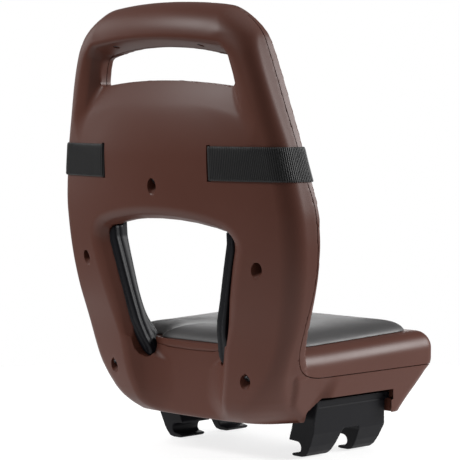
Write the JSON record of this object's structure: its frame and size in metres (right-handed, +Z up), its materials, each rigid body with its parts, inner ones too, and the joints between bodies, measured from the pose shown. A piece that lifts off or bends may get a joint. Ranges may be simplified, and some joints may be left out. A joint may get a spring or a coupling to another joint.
{
  "type": "rear child bike seat",
  "caption": "Moulded child seat for a bicycle's rear rack: high back with hand-hold and window, padded seat, belt, and sliding clamps that hook under the rack's rails.",
  "frame": {"origin": "bottom centre of the seat's box, on the plane of the lowest points of the rack clamps", "axes": "+X to the right as seen from behind, +Y forward in the direction of travel, +Z up"},
  "size_m": [0.352, 0.3, 0.475],
  "materials": {
    "shell_brown": "fine satin grain",
    "pad_black": "soft moulded skin, satin",
    "seat_pad_grey": "fine matte grain",
    "clamp_black": "glass-filled, fine grain",
    "zinc_plate": "zinc plated",
    "screw_black": "black zinc",
    "webbing": "ribbed weave",
    "buckle_black": "fine grain"
  },
  "bodies": {
    "seat": {"rear_shell": "shell_brown", "front_shell": "shell_brown", "back_pad": "pad_black", "seat_pad": "seat_pad_grey", "carrier_plate": "zinc_plate", "carrier_screws": "zinc_plate", "clamp_bolts": "zinc_plate", "clamp_washers": "zinc_plate", "clamp_nuts": "zinc_plate", "back_screws": "screw_black", "handle_screws": "screw_black", "base_screws": "screw_black", "belt_anchor_bars": "zinc_plate", "belt_left": "webbing", "belt_right": "webbing", "buckle_socket": "buckle_black", "buckle_tongue": "buckle_black", "belt_keeper": "webbing", "seat_pad_studs": "clamp_black", "back_pad_studs": "clamp_black"},
    "left_clamp": {"clamp_left": "clamp_black"},
    "right_clamp": {"clamp_right": "clamp_black"}
  },
  "joints": [
    {"name": "left_clamp_slide", "type": "slide", "parent": "seat", "child": "left_clamp", "axis": [1, 0, 0], "range_m": [0, 0.02]},
    {"name": "right_clamp_slide", "type": "slide", "parent": "seat", "child": "right_clamp", "axis": [-1, 0, 0], "range_m": [0, 0.02]}
  ]
}
